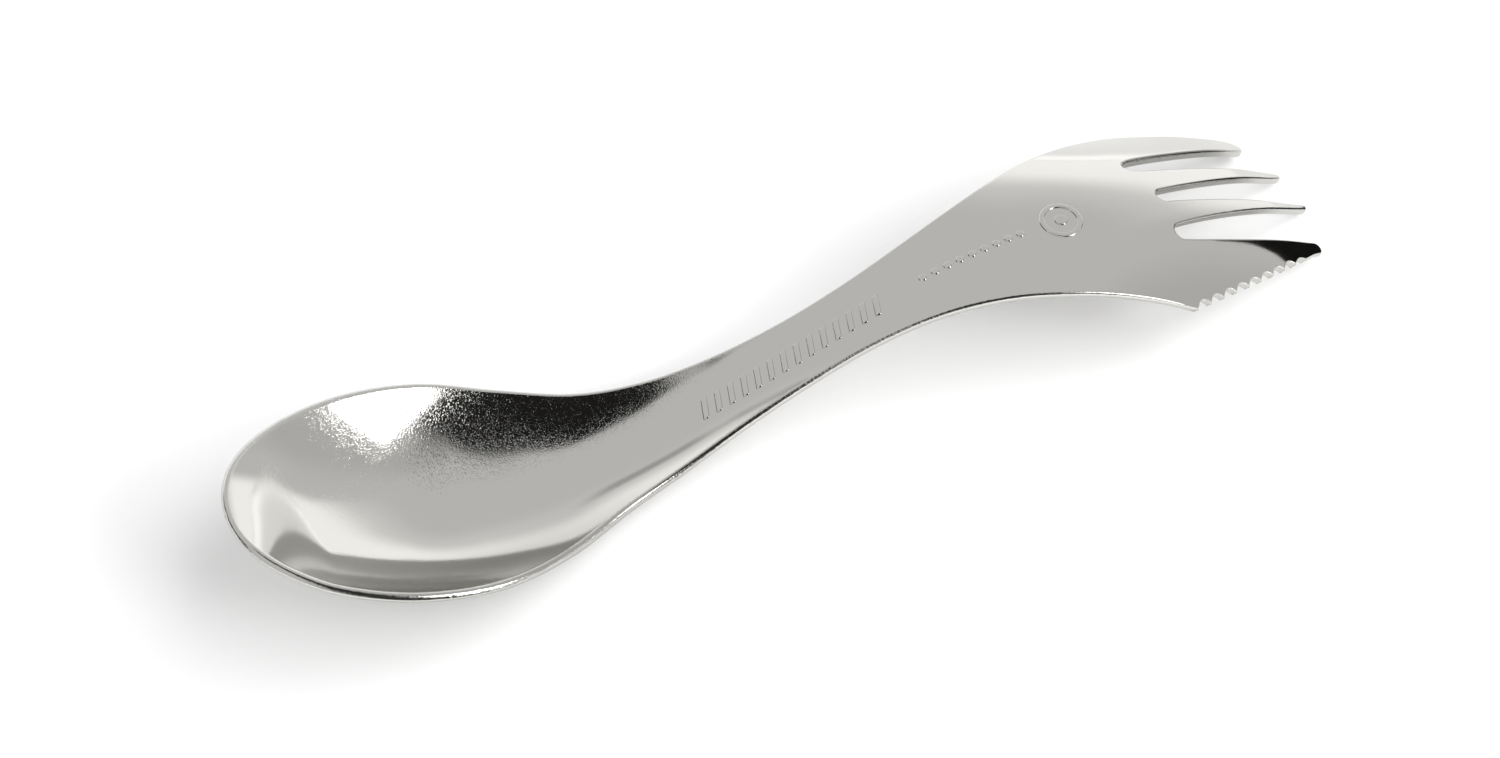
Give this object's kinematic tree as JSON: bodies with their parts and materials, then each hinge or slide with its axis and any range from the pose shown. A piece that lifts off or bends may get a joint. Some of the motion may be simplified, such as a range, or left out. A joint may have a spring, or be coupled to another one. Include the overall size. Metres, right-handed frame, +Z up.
{
  "type": "spork",
  "caption": "Pressed steel spork with a spoon bowl at one end and an arched fork with a notched cutting edge at the other.",
  "frame": {"origin": "middle of the length and of the width, on the table that the spork lies on, bowl open upwards", "axes": "+X along the length towards the fork, +Y across towards the plain side, away from the cutting edge, +Z up"},
  "size_m": [0.17, 0.037, 0.0215],
  "materials": {
    "stainless": "tumbled and polished stainless steel, fine scratches in the bowl"
  },
  "bodies": {
    "root": {"spoon_bowl": "stainless", "handle": "stainless", "fork_palm": "stainless", "outer_tine": "stainless", "far_middle_tine": "stainless", "near_middle_tine": "stainless", "cutting_tine": "stainless"}
  },
  "joints": []
}
